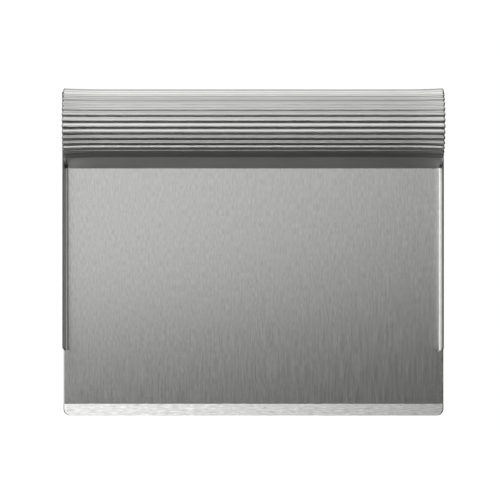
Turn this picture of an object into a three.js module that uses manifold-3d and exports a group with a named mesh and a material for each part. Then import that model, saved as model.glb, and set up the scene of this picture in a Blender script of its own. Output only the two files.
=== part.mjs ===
// Bench scraper: a stainless steel blade with two folded-up sides, and a ribbed sheet-metal grip
// that lies between them and is spot welded to the blade.
//
// Millimetres. The scraper lies on its back: X runs along the cutting edge, Y from the cutting edge
// to the grip, and Z out of the blade's front face. The blade's back face is the plane Z = 0.

import * as THREE from 'three';
import { mergeVertices } from 'three/addons/utils/BufferGeometryUtils.js';
import Module from 'manifold-3d';

const wasm = await Module();
wasm.setup();

// Blade sheet. Lengths along Y are counted from the cutting edge.
const BLADE_WIDTH = 152.4;
const BLADE_LENGTH = 129.6;
const BLADE_THICKNESS = 0.9;
const LOWER_CORNER_RADIUS = 2.8;
const BEVEL_LENGTH = 4.75;
const CUTTING_EDGE_THICKNESS = 0.3;

// The two sides of the blade, folded up as low flanges.
const FLANGE_HEIGHT = 5.5;
const FLANGE_START = 26.2;
const FLANGE_END_SLANT = 1.2;
const FLANGE_TOP_RADIUS = 1.5;
const BEND_INSIDE_RADIUS = 1.2;
const SPLAY_WIDTH = 0.5;
const SPLAY_LENGTH = 3.5;

// Grip: a tube with a flat lip on the blade and a flat tail that comes down in front of it.
const GRIP_THICKNESS = 0.6;
const GRIP_RADIUS = 13.7;
const GRIP_AXIS_LENGTH = 116.3;
const GRIP_HALF_LENGTH = 75.0;
const TAIL_FOOT_LENGTH = 99.1;
const LIP_TO_TAIL_GAP = 0.4;
const FOLD_CLEARANCE = 0.3;

// Ribs run along the tube. Angles are in degrees from the front of the tube, towards the cutting edge.
const RIB_PITCH = 10;
const RIB_COUNT = 25;
const RIB_DEPTH = 0.6;
const FIRST_RIB_ANGLE = 76.5;
const STEPS_PER_RIB = 6;

// The tube is opened a little at both ends.
const FLARE_WIDTH = 0.44;
const FLARE_LENGTH = 15;

// Places that follow from the sizes above. The origin is under the middle of the whole scraper.
const OVERALL_LENGTH = GRIP_AXIS_LENGTH + GRIP_RADIUS + FLARE_WIDTH;
const CUTTING_EDGE_Y = -OVERALL_LENGTH / 2;
const BLADE_TOP_Y = CUTTING_EDGE_Y + BLADE_LENGTH;
const FLANGE_START_Y = CUTTING_EDGE_Y + FLANGE_START;
const HALF_WIDTH = BLADE_WIDTH / 2;
const INSIDE_HALF_WIDTH = HALF_WIDTH - BLADE_THICKNESS;
const BEND_OUTSIDE_RADIUS = BEND_INSIDE_RADIUS + BLADE_THICKNESS;
const GRIP_Y = CUTTING_EDGE_Y + GRIP_AXIS_LENGTH;
const GRIP_Z = BLADE_THICKNESS + GRIP_RADIUS;
const TAIL_FOOT_Y = CUTTING_EDGE_Y + TAIL_FOOT_LENGTH;

// A shape drawn in Y and Z is carried along X, and one drawn in X and Z is carried along Y.
const YZ_ALONG_X = new THREE.Matrix4().set(0, 0, 1, 0, 1, 0, 0, 0, 0, 1, 0, 0, 0, 0, 0, 1);
const XZ_ALONG_Y = new THREE.Matrix4().set(1, 0, 0, 0, 0, 0, -1, 0, 0, 1, 0, 0, 0, 0, 0, 1);

const brushedSteel = (color, roughness) =>
  new THREE.MeshStandardMaterial({ color, roughness, metalness: 1.0 });

function toSolid(geometry) {
  const bare = geometry.clone();
  bare.deleteAttribute('normal');
  bare.deleteAttribute('uv');
  const merged = mergeVertices(bare, 1e-5);
  return new wasm.Manifold(
    new wasm.Mesh({
      numProp: 3,
      vertProperties: new Float32Array(merged.attributes.position.array),
      triVerts: new Uint32Array(merged.index.array),
    }),
  );
}

function toGeometry(solid) {
  const mesh = solid.getMesh();
  const geometry = new THREE.BufferGeometry();
  geometry.setAttribute('position', new THREE.BufferAttribute(mesh.vertProperties, 3));
  geometry.setIndex(new THREE.BufferAttribute(mesh.triVerts, 1));
  geometry.computeVertexNormals();
  return geometry;
}

function namedMesh(name, geometry, material) {
  const mesh = new THREE.Mesh(geometry, material);
  mesh.name = name;
  return mesh;
}

// Moves every vertex of a geometry by what a function makes of it.
function reshape(geometry, move) {
  const positions = geometry.attributes.position;
  const vertex = new THREE.Vector3();
  for (let i = 0; i < positions.count; i += 1) {
    move(vertex.fromBufferAttribute(positions, i));
    positions.setXYZ(i, vertex.x, vertex.y, vertex.z);
  }
  return geometry;
}

// The flat sheet below the flanges, with its two rounded lower corners.
function lowerSheet() {
  const radius = LOWER_CORNER_RADIUS;
  const tongueHalfWidth = HALF_WIDTH - 2 * BEND_OUTSIDE_RADIUS;
  const tongueY = FLANGE_START_Y + 5;
  const outline = new THREE.Shape();
  outline.moveTo(-tongueHalfWidth, tongueY);
  outline.lineTo(-tongueHalfWidth, FLANGE_START_Y);
  outline.lineTo(-HALF_WIDTH, FLANGE_START_Y);
  outline.lineTo(-HALF_WIDTH, CUTTING_EDGE_Y + radius);
  outline.absarc(-HALF_WIDTH + radius, CUTTING_EDGE_Y + radius, radius, Math.PI, 1.5 * Math.PI);
  outline.absarc(HALF_WIDTH - radius, CUTTING_EDGE_Y + radius, radius, 1.5 * Math.PI, 2 * Math.PI);
  outline.lineTo(HALF_WIDTH, FLANGE_START_Y);
  outline.lineTo(tongueHalfWidth, FLANGE_START_Y);
  outline.lineTo(tongueHalfWidth, tongueY);
  return new THREE.ExtrudeGeometry(outline, {
    depth: BLADE_THICKNESS,
    bevelEnabled: false,
    curveSegments: 10,
  });
}

// The sheet with both sides folded up, cut off square where the flanges start.
function foldedSheet() {
  const outside = BEND_OUTSIDE_RADIUS;
  const inside = BEND_INSIDE_RADIUS;
  const bendX = HALF_WIDTH - outside;
  const section = new THREE.Shape();
  section.moveTo(-INSIDE_HALF_WIDTH, FLANGE_HEIGHT);
  section.lineTo(-HALF_WIDTH, FLANGE_HEIGHT);
  section.absarc(-bendX, outside, outside, Math.PI, 1.5 * Math.PI);
  section.absarc(bendX, outside, outside, 1.5 * Math.PI, 2 * Math.PI);
  section.lineTo(HALF_WIDTH, FLANGE_HEIGHT);
  section.lineTo(INSIDE_HALF_WIDTH, FLANGE_HEIGHT);
  section.absarc(bendX, outside, inside, 2 * Math.PI, 1.5 * Math.PI, true);
  section.absarc(-bendX, outside, inside, 1.5 * Math.PI, Math.PI, true);

  const stations = [
    FLANGE_START_Y,
    BLADE_TOP_Y - SPLAY_LENGTH,
    BLADE_TOP_Y - SPLAY_LENGTH / 2,
    BLADE_TOP_Y - SPLAY_LENGTH / 4,
    BLADE_TOP_Y,
  ];
  const spans = stations.length - 1;
  const geometry = new THREE.ExtrudeGeometry(section, {
    depth: spans,
    steps: spans,
    bevelEnabled: false,
    curveSegments: 6,
  });
  geometry.applyMatrix4(XZ_ALONG_Y);
  reshape(geometry, (vertex) => {
    vertex.y = stations[spans + Math.round(vertex.y)];
  });
  return reshape(geometry, splayFlangeEnds);
}

// The top ends of the flanges lean outwards, most at the very end and at the rim.
function splayFlangeEnds(vertex) {
  const alongEnd = (vertex.y - (BLADE_TOP_Y - SPLAY_LENGTH)) / SPLAY_LENGTH;
  const upFlange = (vertex.z - BEND_OUTSIDE_RADIUS) / (FLANGE_HEIGHT - BEND_OUTSIDE_RADIUS);
  if (alongEnd > 0 && upFlange > 0) {
    vertex.x += Math.sign(vertex.x) * SPLAY_WIDTH * alongEnd ** 2 * upFlange;
  }
}

// Everything in front of the ground bevel, which thins the sheet towards the cutting edge.
function bevelWaste() {
  const low = CUTTING_EDGE_Y;
  const high = CUTTING_EDGE_Y + BEVEL_LENGTH;
  const slope = (BLADE_THICKNESS - CUTTING_EDGE_THICKNESS) / BEVEL_LENGTH;
  const section = new THREE.Shape();
  section.moveTo(low - 1, CUTTING_EDGE_THICKNESS - slope);
  section.lineTo(high + 1, BLADE_THICKNESS + slope);
  section.lineTo(low - 1, BLADE_THICKNESS + slope);
  return carriedAlongX(section, BLADE_WIDTH + 2);
}

// The corner that is cut off both flanges at their lower end, so that each end rises at a slant.
function slantWaste() {
  const section = new THREE.Shape();
  const overhang = 1;
  const rise = FLANGE_HEIGHT - BLADE_THICKNESS;
  section.moveTo(FLANGE_START_Y - overhang, BLADE_THICKNESS);
  section.lineTo(FLANGE_START_Y, BLADE_THICKNESS);
  section.lineTo(FLANGE_START_Y + FLANGE_END_SLANT * (1 + overhang / rise), FLANGE_HEIGHT + overhang);
  section.lineTo(FLANGE_START_Y - overhang, FLANGE_HEIGHT + overhang);
  return carriedAlongX(section, BLADE_WIDTH + 2);
}

// What a rounded upper corner leaves outside it on both flanges.
function topCornerWaste() {
  const radius = FLANGE_TOP_RADIUS;
  const overhang = 1;
  const section = new THREE.Shape();
  section.moveTo(BLADE_TOP_Y - radius, FLANGE_HEIGHT + overhang);
  section.lineTo(BLADE_TOP_Y - radius, FLANGE_HEIGHT);
  section.absarc(BLADE_TOP_Y - radius, FLANGE_HEIGHT - radius, radius, 0.5 * Math.PI, 0, true);
  section.lineTo(BLADE_TOP_Y + overhang, FLANGE_HEIGHT - radius);
  section.lineTo(BLADE_TOP_Y + overhang, FLANGE_HEIGHT + overhang);
  return carriedAlongX(section, BLADE_WIDTH + 4);
}

function carriedAlongX(section, length) {
  const geometry = new THREE.ExtrudeGeometry(section, {
    depth: length,
    bevelEnabled: false,
    curveSegments: 6,
  });
  geometry.translate(0, 0, -length / 2);
  return geometry.applyMatrix4(YZ_ALONG_X);
}

function blade() {
  const solid = toSolid(lowerSheet())
    .add(toSolid(foldedSheet()))
    .subtract(toSolid(bevelWaste()))
    .subtract(toSolid(slantWaste()))
    .subtract(toSolid(topCornerWaste()));
  return namedMesh('blade', toGeometry(solid), brushedSteel(0x9a9a98, 0.34));
}

// A point of the tube's wall, at an angle from its front and a distance from its axis.
function onTube(degrees, radius) {
  const angle = THREE.MathUtils.degToRad(degrees);
  return new THREE.Vector2(GRIP_Y - radius * Math.sin(angle), GRIP_Z + radius * Math.cos(angle));
}

// Distance from the tube's axis to its ribbed outside: crests at the full radius, grooves between them.
function ribbedRadius(degrees) {
  const ribs = (FIRST_RIB_ANGLE - degrees) / RIB_PITCH;
  if (ribs <= 0 || ribs >= RIB_COUNT) {
    return GRIP_RADIUS;
  }
  return GRIP_RADIUS - (RIB_DEPTH * (1 - Math.cos(2 * Math.PI * ribs))) / 2;
}

// One side of the grip's sheet, from the foot of the tail, round the tube, to the end of the lip.
// The outside has no inset, and the inside is inset by the thickness of the sheet.
function sheetLine(inset) {
  const tailAngle = 2 * Math.atan(GRIP_RADIUS / (GRIP_Y - TAIL_FOOT_Y));
  const tailDegrees = THREE.MathUtils.radToDeg(tailAngle);
  const lipY = TAIL_FOOT_Y + GRIP_THICKNESS / Math.sin(tailAngle) + LIP_TO_TAIL_GAP;
  const points = [new THREE.Vector2(TAIL_FOOT_Y + inset / Math.sin(tailAngle), BLADE_THICKNESS)];
  points.push(onTube(tailDegrees, GRIP_RADIUS - inset));
  for (let step = 0; step <= RIB_COUNT * STEPS_PER_RIB; step += 1) {
    const degrees = FIRST_RIB_ANGLE - (step * RIB_PITCH) / STEPS_PER_RIB;
    points.push(onTube(degrees, ribbedRadius(degrees) - inset));
  }
  points.push(new THREE.Vector2(GRIP_Y, BLADE_THICKNESS + inset));
  points.push(new THREE.Vector2(lipY, BLADE_THICKNESS + inset));
  return points;
}

// Cross-sections stand at the ends of the tube, half-way down each flare, and where each flare starts.
const FLARE_STARTS = GRIP_HALF_LENGTH - FLARE_LENGTH;
const FLARE_MIDDLE = GRIP_HALF_LENGTH - FLARE_LENGTH / 2;
const GRIP_STATIONS = [
  -GRIP_HALF_LENGTH,
  -FLARE_MIDDLE,
  -FLARE_STARTS,
  FLARE_STARTS,
  FLARE_MIDDLE,
  GRIP_HALF_LENGTH,
];

// The flare pushes the tube's wall away from its axis, and fades out down to the blade.
function flareGripEnds(vertex) {
  const alongFlare = (Math.abs(vertex.x) - FLARE_STARTS) / FLARE_LENGTH;
  if (alongFlare > 0) {
    const aboveBlade = Math.min(1, (vertex.z - BLADE_THICKNESS) / GRIP_RADIUS);
    const outwards = new THREE.Vector2(vertex.y - GRIP_Y, vertex.z - GRIP_Z).normalize();
    const amount = FLARE_WIDTH * alongFlare ** 2 * aboveBlade;
    vertex.y += outwards.x * amount;
    vertex.z += outwards.y * amount;
  }
}

function gripTube() {
  const section = new THREE.Shape([...sheetLine(0), ...sheetLine(GRIP_THICKNESS).reverse()]);
  const spans = GRIP_STATIONS.length - 1;
  const geometry = new THREE.ExtrudeGeometry(section, {
    depth: spans,
    steps: spans,
    bevelEnabled: false,
  });
  geometry.applyMatrix4(YZ_ALONG_X);
  reshape(geometry, (vertex) => {
    vertex.x = GRIP_STATIONS[Math.round(vertex.x)];
  });
  return reshape(geometry, flareGripEnds);
}

// Room for the inside of each fold, where the corners of the lip and the tail are cut back.
function foldRoom(side) {
  const reach = BEND_INSIDE_RADIUS + FOLD_CLEARANCE;
  const room = new THREE.BoxGeometry(2 * reach, BLADE_LENGTH, 2 * reach);
  room.translate(side * (INSIDE_HALF_WIDTH + FOLD_CLEARANCE), 0, BLADE_THICKNESS);
  return room;
}

function grip() {
  const solid = toSolid(gripTube())
    .subtract(toSolid(foldRoom(1)))
    .subtract(toSolid(foldRoom(-1)));
  return namedMesh('grip', toGeometry(solid), brushedSteel(0xa4a4a2, 0.3));
}

const scraper = new THREE.Group();
scraper.add(blade());
scraper.add(grip());

export default scraper;
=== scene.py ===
import math

import bpy
import numpy as np
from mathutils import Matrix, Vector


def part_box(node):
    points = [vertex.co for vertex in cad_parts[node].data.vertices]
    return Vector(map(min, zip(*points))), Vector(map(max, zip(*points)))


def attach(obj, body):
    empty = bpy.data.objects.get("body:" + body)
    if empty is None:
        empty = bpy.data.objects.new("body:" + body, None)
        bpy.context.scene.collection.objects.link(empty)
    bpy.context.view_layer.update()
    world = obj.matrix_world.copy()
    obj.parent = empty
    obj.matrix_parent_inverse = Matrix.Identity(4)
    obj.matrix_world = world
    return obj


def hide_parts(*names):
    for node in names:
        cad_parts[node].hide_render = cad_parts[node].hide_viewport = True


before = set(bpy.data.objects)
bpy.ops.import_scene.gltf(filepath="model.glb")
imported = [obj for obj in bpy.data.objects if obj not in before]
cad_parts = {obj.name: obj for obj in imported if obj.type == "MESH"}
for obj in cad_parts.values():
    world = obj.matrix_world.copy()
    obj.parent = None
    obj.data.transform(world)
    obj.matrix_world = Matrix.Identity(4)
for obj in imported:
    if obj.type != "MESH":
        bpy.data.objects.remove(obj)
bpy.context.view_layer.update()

# ---------------------------------------------------------------------------------------------
# The studio. The scraper lies on its back on a small glowing light table, on dark cloth, among
# twelve soft lights: large ones behind and on the left, small ones above and in front. The
# camera hangs over it, on a long lens.
# ---------------------------------------------------------------------------------------------

mm = 0.001
camera_height = 1058 * mm
camera_offset = (-1.4 * mm, 1.2 * mm)
frame_width_seen = 200.6 * mm
sensor = 36.0

camera_data = bpy.data.cameras.new("camera")
camera_data.sensor_width = sensor
camera_data.lens = sensor * camera_height / frame_width_seen
camera = bpy.data.objects.new("camera", camera_data)
camera.location = (*camera_offset, camera_height)
bpy.context.collection.objects.link(camera)
bpy.context.scene.camera = camera
bpy.context.scene.view_settings.view_transform = "Standard"


def flat_square(name, size, depth, shade, glow):
    """A flat matt square, size across, depth under the plane Z = 0: the corners (+-size/2, +-size/2).
    shade is its grey and glow the light that it gives off."""
    half = size / 2
    corners = [(x, y, -depth) for x, y in ((-half, -half), (half, -half), (half, half), (-half, half))]
    mesh = bpy.data.meshes.new(name)
    mesh.from_pydata(corners, [], [(0, 1, 2, 3)])
    square = bpy.data.objects.new(name, mesh)
    bpy.context.collection.objects.link(square)
    material = bpy.data.materials.new(name)
    material.use_nodes = True
    shader = material.node_tree.nodes["Principled BSDF"]
    shader.inputs["Base Color"].default_value = (shade, shade, shade, 1)
    shader.inputs["Roughness"].default_value = 0.9
    shader.inputs["Specular IOR Level"].default_value = 0.0
    shader.inputs["Emission Color"].default_value = (1, 1, 1, 1)
    shader.inputs["Emission Strength"].default_value = glow
    mesh.materials.append(material)
    return square


flat_square("light_table", size=224 * mm, depth=0.3 * mm, shade=0.05, glow=1.0)
flat_square("dark_cloth", size=6000 * mm, depth=0.6 * mm, shade=0.03, glow=0.0)

world = bpy.data.worlds.new("soft_studio")
world.use_nodes = True
bpy.context.scene.world = world
sky = world.node_tree
background = sky.nodes["Background"]
direction = sky.nodes.new("ShaderNodeTexCoord").outputs["Generated"]


def sky_math(operation, *values):
    """A math node of the sky: numbers are stored in its sockets, and outputs are linked to them."""
    node = sky.nodes.new("ShaderNodeMath")
    node.operation = operation
    for socket, value in zip(node.inputs, values):
        if isinstance(value, (int, float)):
            socket.default_value = value
        else:
            sky.links.new(value, socket)
    return node.outputs[0]


def soft_light(centre, size, turn, strength):
    """One soft patch of light: strength * exp(-u^2 - v^2), where (u, v) is the place of a direction's
    (x, y) in an ellipse of that centre and size, turned by turn degrees. The direction's z has no part
    in it, because its scale is very large."""
    any_height = 1e6
    place = sky.nodes.new("ShaderNodeMapping")
    place.vector_type = "TEXTURE"
    place.inputs["Location"].default_value = (*centre, 0)
    place.inputs["Rotation"].default_value = (0, 0, math.radians(turn))
    place.inputs["Scale"].default_value = (*size, any_height)
    sky.links.new(direction, place.inputs["Vector"])
    square = sky.nodes.new("ShaderNodeVectorMath")
    square.operation = "DOT_PRODUCT"
    sky.links.new(place.outputs[0], square.inputs[0])
    sky.links.new(place.outputs[0], square.inputs[1])
    falloff = sky_math("EXPONENT", sky_math("MULTIPLY", square.outputs["Value"], -1.0))
    return sky_math("MULTIPLY", falloff, strength)


# Above the scraper, two narrow strips and a wider one. On the left four large lights, and behind two.
# In front, the one that the ground bevel shows. Low on the right and low in front, two weak ones.
light = 0.0
for patch in (
    soft_light((-0.05, 0.00), (0.10, 0.03), 20, 1.99),
    soft_light((0.00, 0.08), (0.10, 0.03), 0, 1.52),
    soft_light((-0.15, 0.08), (0.30, 0.06), 20, 0.87),
    soft_light((-0.45, 0.00), (0.25, 0.25), 0, 0.45),
    soft_light((-0.45, 0.30), (0.25, 0.25), 0, 1.01),
    soft_light((-0.75, 0.00), (0.25, 0.25), 0, 0.98),
    soft_light((-0.90, 0.20), (0.25, 0.25), 0, 1.80),
    soft_light((-0.30, 0.80), (0.30, 0.30), 0, 2.52),
    soft_light((0.20, 0.90), (0.25, 0.25), 0, 1.18),
    soft_light((-0.10, -0.27), (0.15, 0.07), 0, 6.66),
    soft_light((0.95, 0.00), (0.30, 0.30), 0, 0.56),
    soft_light((-0.30, -0.80), (0.30, 0.30), 0, 0.15),
):
    light = sky_math("ADD", light, patch)
sky.links.new(light, background.inputs["Strength"])
background.inputs["Color"].default_value = (1, 1, 1, 1)


# ---------------------------------------------------------------------------------------------
# The blade: one stainless sheet, brushed from grip to cutting edge. Both sides are folded up as
# low flanges, the lower corners are rounded, and the cutting edge is ground on the front face.
# ---------------------------------------------------------------------------------------------

blade_low, blade_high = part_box("blade")
cutting_edge = blade_low.y
blade_length = blade_high.y - blade_low.y
half_width = 76.2 * mm
thickness = 0.9 * mm
edge_thickness = 0.3 * mm
bevel_length = 4.75 * mm
corner_radius = 2.8 * mm
flange_start = 26.2 * mm
flange_slant = 1.2 * mm
flange_height = blade_high.z
fold_radius = 2.1 * mm
top_corner = 1.5 * mm
splay = 0.3 * mm
splay_length = 3.5 * mm
lean = 0.2 * mm
pull_height = 0.03 * mm
pull_width = 3.5 * mm
pull_fade = 9.0 * mm
pull_run = 1.3 * pull_fade
rollover_width = 0.40 * mm
rollover_depth = 0.28 * mm
rollover_turns = (68, 45, 22, 0)
most_of_thickness = 0.4


def blade_stations():
    """Distances from the cutting edge of the blade's cross-sections: close together where the outline
    curves (corner * (1 - cos a)), at both ends of the bevel, round the flanges' feet and at the top."""
    quarter = np.linspace(0, np.pi / 2, 15)
    step_at_foot = 0.01 * mm
    step_at_bevel = 0.05 * mm
    near_foot = 14 * mm
    return np.unique(np.concatenate([
        corner_radius * (1 - np.cos(quarter)),
        [bevel_length - step_at_bevel, bevel_length, bevel_length + step_at_bevel],
        np.linspace(bevel_length + 1 * mm, flange_start - near_foot, 8),
        np.linspace(flange_start - near_foot, flange_start - 1 * mm, 36),
        [flange_start - step_at_foot],
        np.linspace(flange_start, flange_start + flange_slant, 12),
        np.linspace(flange_start + flange_slant, flange_start + near_foot, 26)[1:],
        np.linspace(flange_start + near_foot + 2 * mm, blade_length - splay_length, 26),
        np.linspace(blade_length - splay_length, blade_length - top_corner, 6),
        blade_length - top_corner * (1 - np.sin(quarter)),
    ]))


def sheet_reach(distance):
    """(fold line, sheet beyond it) at each distance d. Below the flanges the sheet ends at the outline,
    half_width - r + sqrt(r^2 - (r - d)^2) in the rounded corner. Above, it is the fold's quarter turn
    and the flange, cut at a slant at the foot and rounded off at the top."""
    inside_corner = np.clip(corner_radius - distance, 0, None)
    outline = half_width - corner_radius + np.sqrt(corner_radius**2 - inside_corner**2)
    fold_line = outline - fold_radius
    full = fold_radius * np.pi / 2 + flange_height - fold_radius
    up_slant = np.clip((distance - flange_start) / flange_slant, 0, 1)
    past_corner = np.clip(distance - (blade_length - top_corner), 0, top_corner)
    flange = fold_radius + (full - fold_radius) * up_slant
    flange = flange - (top_corner - np.sqrt(top_corner**2 - past_corner**2))
    return fold_line, np.where(distance < flange_start, fold_radius, flange)


def sheet_thickness(distance):
    """Full thickness above the bevel, and a straight taper to the cutting edge on the bevel."""
    return edge_thickness + (thickness - edge_thickness) * np.clip(distance / bevel_length, 0, 1)


def pulled_up(developed, distance):
    """How far the folding has drawn the sheet up: h * exp(-g / w) * f^2 * (3 - 2 f), at a gap g inside
    each fold line. f goes from 0 to 1 as the sheet nears and passes the foot of the flanges."""
    fold_line, _ = sheet_reach(distance)
    gap = np.clip(fold_line - np.abs(developed), 0, None)
    fade = np.clip((distance - flange_start + pull_fade) / pull_run, 0, 1)
    return pull_height * np.exp(-gap / pull_width) * fade**2 * (3 - 2 * fade)


def folded(developed, depth, distance):
    """The place of a point of the sheet: developed is its distance from the middle along the unfolded
    sheet (negative on the left), depth its height over the back face, distance its way up the blade.
    Past the fold line the sheet turns on a circle, x = line + R sin a, z = R (1 - cos a), up to a
    right angle, and then runs straight up. Both flanges lean to the left by lean * u, and splay by
    splay * t^2 * u, u going from 0 to 1 up the flange and t over its last stretch at the top."""
    side = np.sign(developed)
    fold_line, _ = sheet_reach(distance)
    past = np.clip(np.abs(developed) - fold_line, 0, None)
    is_folded = distance >= flange_start
    turn = np.where(is_folded, np.minimum(past / fold_radius, np.pi / 2), 0)
    straight = np.where(is_folded, np.clip(past - fold_radius * np.pi / 2, 0, None), 0)
    flat = np.where(is_folded, np.minimum(np.abs(developed), fold_line), np.abs(developed))
    x = flat + fold_radius * np.sin(turn) - depth * np.sin(turn)
    z = fold_radius * (1 - np.cos(turn)) + straight + depth * np.cos(turn)
    pulled = pulled_up(developed, distance)
    z = pulled + z * (1 - pulled / flange_height)
    up = np.clip((z - fold_radius) / (flange_height - fold_radius), 0, 1)
    at_top = np.clip((distance - blade_length + splay_length) / splay_length, 0, 1)
    x = side * (x + splay * at_top**2 * up) - lean * up
    return x, cutting_edge + distance, z


def blade_loop(distance):
    """Once round the blade's cross-section, for all distances at once: (developed, depth) arrays of
    rows by columns. The front goes from left to right, the right edge rolls over both its corners on
    quarter ellipses (w cos a, h sin a), the back returns, and the left edge closes the loop. Also the
    counts of points along the front and over an edge."""
    fold_line, reach = sheet_reach(distance)
    full = sheet_thickness(distance)
    height = np.minimum(rollover_depth, most_of_thickness * full)
    half = np.concatenate([
        fold_line[:, None] * np.linspace(0, 1, 41)[:-1],
        fold_line[:, None] + (reach - rollover_width)[:, None] * np.linspace(0, 1, 27),
    ], axis=1)
    front = np.concatenate([-half[:, :0:-1], half], axis=1)
    over = np.radians(rollover_turns)
    turn = np.concatenate([over, -over[::-1]])
    in_front = np.arange(len(turn)) < len(over)
    centre = np.where(in_front, (full - height)[:, None], height[:, None])
    end = (fold_line + reach - rollover_width)[:, None] + rollover_width * np.cos(turn)
    level = centre + height[:, None] * np.sin(turn)
    developed = np.concatenate([front, end, front[:, ::-1], -end[:, ::-1]], axis=1)
    top = np.broadcast_to(full[:, None], front.shape)
    depth = np.concatenate([top, level, np.zeros(front.shape), level[:, ::-1]], axis=1)
    return developed, depth, front.shape[1], end.shape[1]


def skin(rows, columns):
    """Quads of a closed tube of rows by columns of points, each row joined to the next."""
    row, column = np.meshgrid(np.arange(rows - 1), np.arange(columns), indexing="ij")
    following = (column + 1) % columns
    quads = [row * columns + column, row * columns + following,
             (row + 1) * columns + following, (row + 1) * columns + column]
    return np.stack(quads, axis=-1).reshape(-1, 4)


def end_strip(first, front, end):
    """Faces that close one row of a flat loop: quads between its front and its back, and a polygon
    at each end. first is the row's first index, front and end its counts of points."""
    ahead = first + np.arange(front)
    back = first + 2 * front + end - 1 - np.arange(front)
    quads = np.stack([ahead[:-1], ahead[1:], back[1:], back[:-1]], axis=-1).tolist()
    right = list(range(ahead[-1], back[-1] + 1))
    left = list(range(back[0], first + 2 * front + 2 * end)) + [first]
    return quads, right, left


def steel_mesh(name, points, faces, marks, where):
    """A mesh from points and faces, smooth except over sharp edges. marks gives each face's material,
    and where each point's place on the unfolded sheet, in metres, kept as the UV map."""
    mesh = bpy.data.meshes.new(name)
    mesh.from_pydata(points.tolist(), [], faces)
    mesh.polygons.foreach_set("material_index", marks)
    mesh.polygons.foreach_set("use_smooth", np.ones(len(faces), bool))
    corners = np.empty(len(mesh.loops), np.int32)
    mesh.loops.foreach_get("vertex_index", corners)
    brushing = mesh.uv_layers.new(name="brushing")
    brushing.data.foreach_set("uv", where[corners].astype(np.float32).ravel())
    mesh.validate()
    sharp_angle = math.radians(28)
    mesh.set_sharp_from_angle(angle=sharp_angle)
    return mesh


def blade_mesh():
    """The blade's loop at every station, folded up and skinned. Its faces are marked 0 for the brushed
    sheet and its front rollovers, 1 for the ground bevel and 2 for the sheared edges, whose dark grey
    is painted shade."""
    distance = blade_stations()
    developed, depth, front, end = blade_loop(distance)
    upwards = np.broadcast_to(distance[:, None], developed.shape)
    points = np.stack(folded(developed, depth, upwards), axis=-1).reshape(-1, 3)
    where = np.stack([developed, upwards], axis=-1).reshape(-1, 2)
    rows, columns = developed.shape
    column = np.tile(np.arange(columns), rows - 1)
    row = np.repeat(np.arange(rows - 1), columns)
    on_front = column < front - 1
    on_back = (column >= front + end) & (column < 2 * front + end - 1)
    rolled = len(rollover_turns) - 1
    on_front_roll = (column < front - 1 + rolled) | (column >= columns - rolled)
    rounding_error = 1e-9
    on_bevel = on_front & (distance[row + 1] <= bevel_length + rounding_error)
    # Mark 2, the sheared edges, gets a dark grey that is painted shade.
    marks = np.where(on_bevel, 1, np.where(on_back | on_front_roll, 0, 2))
    low_quads, low_right, low_left = end_strip(0, front, end)
    top_quads, top_right, top_left = end_strip((rows - 1) * columns, front, end)
    closing = low_quads + [low_right, low_left]
    closing += [face[::-1] for face in top_quads + [top_right, top_left]]
    faces = skin(rows, columns)[:, ::-1].tolist() + closing
    all_marks = np.concatenate([marks, np.full(len(closing), 2)])
    return steel_mesh("blade_sheet", points, faces, all_marks, where)


def new_node(tree, kind, **values):
    """A node with its sockets set: a number or colour is stored, and an output is linked."""
    node = tree.nodes.new(kind)
    for name, value in values.items():
        socket = node.inputs[name.replace("_", " ")]
        if isinstance(value, bpy.types.NodeSocket):
            tree.links.new(value, socket)
        else:
            socket.default_value = value
    return node


def streaks(tree, wide, high):
    """Noise drawn out along the brushing: one grain is wide along the sheet's U and high along its V,
    in metres."""
    place = tree.nodes.new("ShaderNodeUVMap")
    place.uv_map = "brushing"
    stretched = tree.nodes.new("ShaderNodeMapping")
    stretched.inputs["Scale"].default_value = (1 / wide, 1 / high, 1)
    tree.links.new(place.outputs["UV"], stretched.inputs["Vector"])
    return new_node(tree, "ShaderNodeTexNoise", Vector=stretched.outputs[0], Scale=1.0, Detail=2.0,
                    Roughness=0.6).outputs[0]


def between(tree, value, low, high):
    """Noise lies mostly from 0.3 to 0.7: that span is spread over low to high."""
    return new_node(tree, "ShaderNodeMapRange", Value=value, From_Min=0.3, From_Max=0.7,
                    To_Min=low, To_Max=high).outputs[0]


def scaled(tree, value, factor):
    """value * factor."""
    product = new_node(tree, "ShaderNodeMath", Value=value)
    product.operation = "MULTIPLY"
    product.inputs[1].default_value = factor
    return product.outputs[0]


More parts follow.
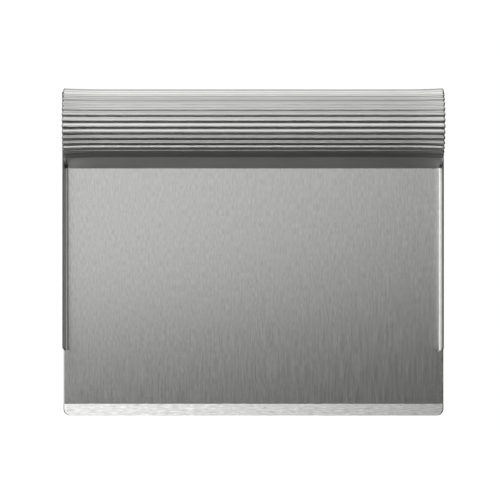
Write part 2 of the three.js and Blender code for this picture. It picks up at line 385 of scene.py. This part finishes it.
def brushed_steel(name, shade, roughness, anisotropy, rotation, grain, depth):
    """Stainless steel with a directional finish. Its scratches are 0.6 * short + 0.4 * long streaks,
    the long ones 5 times as long and 1.3 times as wide. shade is (darkest, lightest), roughness (low,
    high), rotation the turn of the finish from the UV map's U, in turns, grain (along U, along V) and
    depth the size and depth of the short scratches, in metres. Blue is a little under red and green."""
    long_share = 0.4
    longer, wider = 5, 1.3
    blue_share = 0.975
    material = bpy.data.materials.new(name)
    material.use_nodes = True
    tree = material.node_tree
    shader = tree.nodes["Principled BSDF"]
    stretch = (longer, wider) if grain[0] > grain[1] else (wider, longer)
    short = streaks(tree, grain[0], grain[1])
    long = streaks(tree, grain[0] * stretch[0], grain[1] * stretch[1])
    scratches = tree.nodes.new("ShaderNodeMath")
    scratches.operation = "MULTIPLY_ADD"
    tree.links.new(short, scratches.inputs[0])
    scratches.inputs[1].default_value = 1 - long_share
    tree.links.new(scaled(tree, long, long_share), scratches.inputs[2])
    grey = between(tree, scratches.outputs[0], shade[0], shade[1])
    blue = scaled(tree, grey, blue_share)
    colour = new_node(tree, "ShaderNodeCombineColor", Red=grey, Green=grey, Blue=blue)
    tree.links.new(colour.outputs[0], shader.inputs["Base Color"])
    tree.links.new(between(tree, long, roughness[0], roughness[1]), shader.inputs["Roughness"])
    shader.inputs["Metallic"].default_value = 1.0
    shader.inputs["Anisotropic"].default_value = anisotropy
    shader.inputs["Anisotropic Rotation"].default_value = rotation
    tangent = tree.nodes.new("ShaderNodeTangent")
    tangent.direction_type = "UV_MAP"
    tangent.uv_map = "brushing"
    tree.links.new(tangent.outputs[0], shader.inputs["Tangent"])
    bump = new_node(tree, "ShaderNodeBump", Strength=1.0, Distance=depth, Height=scratches.outputs[0])
    tree.links.new(bump.outputs[0], shader.inputs["Normal"])
    return material


blade = bpy.data.objects.new("blade_sheet", blade_mesh())
bpy.context.collection.objects.link(blade)
blade.data.materials.append(brushed_steel(
    "blade_brushed", shade=(0.51, 0.69), roughness=(0.19, 0.225), anisotropy=0.86, rotation=0.0,
    grain=(0.50 * mm, 2.5 * mm), depth=0.001 * mm))
blade.data.materials.append(brushed_steel(
    "edge_ground", shade=(0.38, 0.85), roughness=(0.25, 0.33), anisotropy=0.56, rotation=0.25,
    grain=(3 * mm, 0.45 * mm), depth=0.002 * mm))
# The sheared edges: rough, unbrushed steel, with a dark grey that is painted shade for the dark lines
# along the rims and ends.
blade.data.materials.append(brushed_steel(
    "edge_sheared_painted_shade", shade=(0.16, 0.24), roughness=(0.40, 0.50), anisotropy=0.0, rotation=0.0,
    grain=(0.3 * mm, 0.3 * mm), depth=0.001 * mm))
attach(blade, "root")
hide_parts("blade")


# ---------------------------------------------------------------------------------------------
# The grip: a second stainless sheet, rolled with fine ribs and bent into a tube. Its rear lip lies
# on the blade, held by spot welds, and its smooth front tail comes down onto the blade.
# ---------------------------------------------------------------------------------------------

grip_half_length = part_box("grip")[1].x
tube_radius = 13.7 * mm
grip_thickness = 0.6 * mm
tube_y = cutting_edge + 116.3 * mm
tube_z = thickness + tube_radius
tail_foot = cutting_edge + 99.1 * mm
tail_angle = 2 * math.atan(tube_radius / (tube_y - tail_foot))
lip_gap = 0.4 * mm
rib_pitch = math.radians(10)
rib_count = 25
rib_depth = 0.6 * mm
rib_sharpness = 1.3
steps_per_rib = 14
first_rib = math.radians(76.5)
flare = 0.44 * mm
flare_length = 15 * mm
end_length = 1 * mm
end_rounding = 0.5 * mm
end_scallop = 0.35 * mm
foot_setback = 1.2 * mm
foot_height = 2.6 * mm
foot_run = 1.3 * mm


def sheet_path():
    """The grip's sheet from the foot of the tail to the end of the lip, as (y, z) of its outside and
    the direction (y, z) from there to its inside. On the tube the outside is at
    r = R - depth * ((1 - cos t) / 2)^sharpness, t turning once for each rib, from the first crest to
    the last."""
    tail_top = np.array([tube_y - tube_radius * math.sin(tail_angle),
                         tube_z + tube_radius * math.cos(tail_angle)])
    foot = np.array([tail_foot, thickness])
    tail = foot + (tail_top - foot) * np.linspace(0, 1, 16)[:-1, None]
    tail_inside = np.tile([math.sin(tail_angle), -math.cos(tail_angle)], (len(tail), 1))
    angle = np.concatenate([
        np.linspace(tail_angle, first_rib, 4)[:-1],
        first_rib - rib_pitch * np.linspace(0, rib_count, rib_count * steps_per_rib + 1),
        np.linspace(first_rib - rib_pitch * rib_count, -math.pi, 6)[1:],
    ])
    turn = 2 * np.pi * np.clip((first_rib - angle) / rib_pitch, 0, rib_count)
    radius = tube_radius - rib_depth * ((1 - np.cos(turn)) / 2) ** rib_sharpness
    outwards = np.stack([-np.sin(angle), np.cos(angle)], axis=-1)
    tube = np.array([tube_y, tube_z]) + radius[:, None] * outwards
    lip_end = tail_foot + grip_thickness / math.sin(tail_angle) + lip_gap
    lip_y = np.linspace(tube_y, lip_end, 14)[1:]
    lip = np.stack([lip_y, np.full(len(lip_y), thickness)], axis=-1)
    lip_inside = np.tile([0.0, 1.0], (len(lip), 1))
    return np.concatenate([tail, tube, lip]), np.concatenate([tail_inside, -outwards, lip_inside])


def grip_stations():
    """The x of the grip's cross-sections, how far the outer edge is cut back at each, and the count of
    rows in one rounded end, where x = L - r (1 - sin a) and the cut is r (1 - cos a)."""
    turn = np.linspace(0, np.pi / 2, 7)
    middle = np.linspace(0, grip_half_length - flare_length, 14)
    opening = np.linspace(grip_half_length - flare_length, grip_half_length - end_length, 14)[1:]
    half = np.concatenate([middle, opening, grip_half_length - end_rounding * (1 - np.sin(turn))])
    cut = np.concatenate([np.zeros(len(middle) + len(opening)), end_rounding * (1 - np.cos(turn))])
    x = np.concatenate([-half[:0:-1], half])
    return x, np.concatenate([cut[:0:-1], cut]), len(turn)


def grip_points(x, cut):
    """The sheet carried along X, as (rows, columns, 3). At both ends its outer edge is rounded over, the
    tube opens by flare * w^2, w going from 0 to 1 along the last stretch, the grooves are drawn in by up
    to the scallop, and the foot is set back for the folds."""
    outside, inwards = sheet_path()
    axis = np.array([tube_y, tube_z])
    line = np.concatenate([outside, outside[::-1]])
    into = np.concatenate([inwards, inwards[::-1]])
    is_inner = np.repeat([False, True], len(outside))
    depth = np.where(is_inner[None, :], grip_thickness, cut[:, None])
    section = line[None] + depth[..., None] * into[None]
    section[..., 1] = np.maximum(section[..., 1], thickness)
    w = np.clip((np.abs(x) - grip_half_length + flare_length) / flare_length, 0, 1)
    away = section - axis
    away /= np.linalg.norm(away, axis=-1, keepdims=True)
    above = np.clip((section[..., 1] - thickness) / tube_radius, 0, 1)
    section = section + (flare * w**2)[:, None, None] * above[..., None] * away
    low = np.clip((foot_height - section[..., 1]) / foot_run, 0, 1)
    groove = np.clip((tube_radius - np.linalg.norm(line - axis, axis=-1)) / rib_depth, 0, 1)
    along = x[:, None] * (1 - (foot_setback * low + end_scallop * groove[None]) / grip_half_length)
    return np.concatenate([along[..., None], section], axis=-1)


def grip_mesh():
    """The sheet's points, skinned and closed at both ends. Its faces are marked 0 for the satin sheet
    and 1 for the cut edges, which take in all but the innermost row of each rounded end; their dark
    grey is painted shade."""
    x, cut, rounded_rows = grip_stations()
    points = grip_points(x, cut)
    rows, columns, _ = points.shape
    outside, _ = sheet_path()
    run = np.concatenate([[0], np.cumsum(np.linalg.norm(np.diff(outside, axis=0), axis=1))])
    where = np.stack(np.broadcast_arrays(x[:, None], np.concatenate([run, run[::-1]])[None]), axis=-1)
    column = np.tile(np.arange(columns), rows - 1)
    row = np.repeat(np.arange(rows - 1), columns)
    on_edge = (column == len(outside) - 1) | (column == columns - 1)
    edge_rows = rounded_rows - 2
    on_end = (row < edge_rows) | (row >= rows - 1 - edge_rows)
    first = np.arange(len(outside) - 1)
    near = np.stack([first, first + 1, columns - 2 - first, columns - 1 - first], axis=-1)
    far = near + (rows - 1) * columns
    faces = np.concatenate([skin(rows, columns), near[:, ::-1], far]).tolist()
    # Mark 1, the cut edges and rounded ends, gets a dark grey that is painted shade.
    marks = np.concatenate([np.where(on_edge | on_end, 1, 0), np.full(len(near) + len(far), 1)])
    return steel_mesh("grip_sheet", points.reshape(-1, 3), faces, marks, where.reshape(-1, 2))


grip = bpy.data.objects.new("grip_sheet", grip_mesh())
bpy.context.collection.objects.link(grip)
grip.data.materials.append(brushed_steel(
    "grip_satin", shade=(0.57, 0.67), roughness=(0.30, 0.34), anisotropy=0.3, rotation=0.0,
    grain=(10 * mm, 0.4 * mm), depth=0.0002 * mm))
# The cut edges and rounded-over tube ends: steel with a dark grey that is painted shade for the dark
# rims at the tube's ends.
grip.data.materials.append(brushed_steel(
    "grip_edge_painted_shade", shade=(0.12, 0.20), roughness=(0.35, 0.45), anisotropy=0.0, rotation=0.0,
    grain=(0.3 * mm, 0.3 * mm), depth=0.001 * mm))
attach(grip, "root")
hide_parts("grip")
